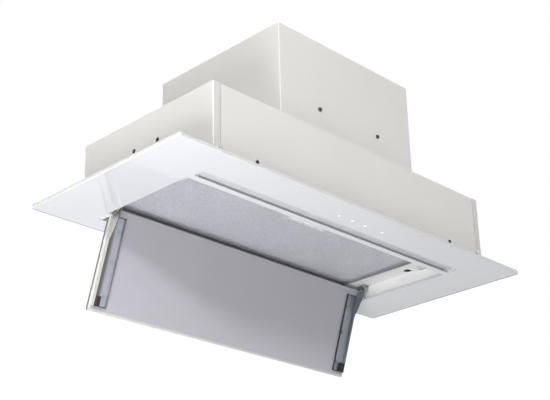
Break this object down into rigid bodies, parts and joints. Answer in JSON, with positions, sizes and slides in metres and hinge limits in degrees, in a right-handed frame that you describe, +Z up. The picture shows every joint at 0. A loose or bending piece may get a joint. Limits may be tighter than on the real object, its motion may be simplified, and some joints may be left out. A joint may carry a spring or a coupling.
{
  "type": "built-in range hood",
  "caption": "Built-in range hood: wide glass panel with light slot, touch field, grease filter and hinged suction flap, under a low sheet housing and a blower tower with a duct collar.",
  "frame": {"origin": "middle of the panel, on the plane where the foam seal meets the underside of the cupboard", "axes": "+X along the panel to the right, +Y from the front to the wall, +Z up, out of the seat"},
  "size_m": [0.74, 0.3134, 0.4387],
  "materials": {
    "white_glass": "gloss",
    "lit_mark": "gloss",
    "rim_steel": "satin",
    "foam": "matt",
    "circuit": "matt",
    "opal": "frosted",
    "cover_plastic": "matt",
    "channel_aluminium": "satin",
    "housing_steel": "satin",
    "pan_steel": "satin",
    "inner_steel": "galvanised",
    "filter_aluminium": "brushed",
    "latch_plastic": "gloss",
    "catch_plastic": "matt",
    "screw_zinc": "zinc plated",
    "screw_dark": "blackened",
    "arm_zinc": "zinc plated",
    "flap_inner": "gloss",
    "pin_steel": "bright",
    "motor_shell": "cast",
    "bearing_bronze": "sintered",
    "impeller_plastic": "matt",
    "collar_plastic": "matt",
    "damper_aluminium": "satin",
    "box_plastic": "matt",
    "capacitor_plastic": "gloss"
  },
  "bodies": {
    "housing": {"glass_panel": "white_glass", "touch_marks": "lit_mark", "panel_rim": "rim_steel", "cabinet_seal": "foam", "touch_board": "circuit", "touch_cover": "cover_plastic", "light_channel": "channel_aluminium", "light_diffuser": "opal", "light_board": "circuit", "light_driver": "box_plastic", "housing_wrap": "housing_steel", "housing_end_left": "housing_steel", "housing_end_right": "housing_steel", "rim_angles": "inner_steel", "housing_screws": "screw_zinc", "tower_wrap": "housing_steel", "tower_back": "housing_steel", "tower_lid": "housing_steel", "tower_rail": "inner_steel", "tower_screws": "screw_dark", "tower_rivets": "screw_zinc", "recess_pan": "pan_steel", "catch_strikers": "catch_plastic", "filter_frame": "filter_aluminium", "filter_mesh": "filter_aluminium", "hinge_pins": "pin_steel", "hinge_washers": "catch_plastic", "hinge_bracket_left": "pan_steel", "hinge_bracket_right": "pan_steel", "scroll_wrap": "inner_steel", "scroll_cheek_left": "inner_steel", "scroll_cheek_right": "inner_steel", "blower_flange": "inner_steel", "outlet_gasket": "foam", "motor_body": "motor_shell", "motor_bearings": "bearing_bronze", "motor_bracket": "inner_steel", "motor_screws": "screw_zinc", "outlet_collar": "collar_plastic", "collar_screws": "screw_zinc", "damper_pins": "pin_steel", "power_box": "box_plastic", "power_board": "circuit", "power_box_cover": "box_plastic", "capacitor": "capacitor_plastic", "capacitor_clip": "inner_steel", "cable_gland": "cover_plastic", "gland_nut": "cover_plastic"},
    "flap": {"flap_glass": "white_glass", "flap_sheet": "flap_inner", "flap_arm_left": "arm_zinc", "flap_arm_right": "arm_zinc", "flap_catch_left": "catch_plastic", "flap_catch_right": "catch_plastic", "arm_screws": "screw_zinc"},
    "filter_latch": {"filter_latch": "latch_plastic"},
    "impeller": {"impeller": "impeller_plastic", "motor_shaft": "pin_steel"},
    "damper_left": {"damper_left": "damper_aluminium"},
    "damper_right": {"damper_right": "damper_aluminium"}
  },
  "joints": [
    {"name": "flap_hinge", "type": "hinge", "parent": "housing", "child": "flap", "pos_m": [0, 0.0938, 0.0049], "axis": [1, 0, 0], "range_deg": [-108.7, 0]},
    {"name": "latch_slide", "type": "slide", "parent": "housing", "child": "filter_latch", "axis": [0, 1, 0], "range_m": [0, 0.006], "stiffness_N_per_m": 250, "springref_m": -0.003},
    {"name": "impeller_spin", "type": "hinge", "parent": "housing", "child": "impeller", "pos_m": [0, 0.008, 0.15], "axis": [1, 0, 0], "continuous": true},
    {"name": "damper_left_hinge", "type": "hinge", "parent": "housing", "child": "damper_left", "pos_m": [-0.0045, 0.0525, 0.277], "axis": [0, 1, 0], "range_deg": [0, 78]},
    {"name": "damper_right_hinge", "type": "hinge", "parent": "housing", "child": "damper_right", "pos_m": [0.0045, 0.0525, 0.277], "axis": [0, -1, 0], "range_deg": [0, 78]}
  ]
}
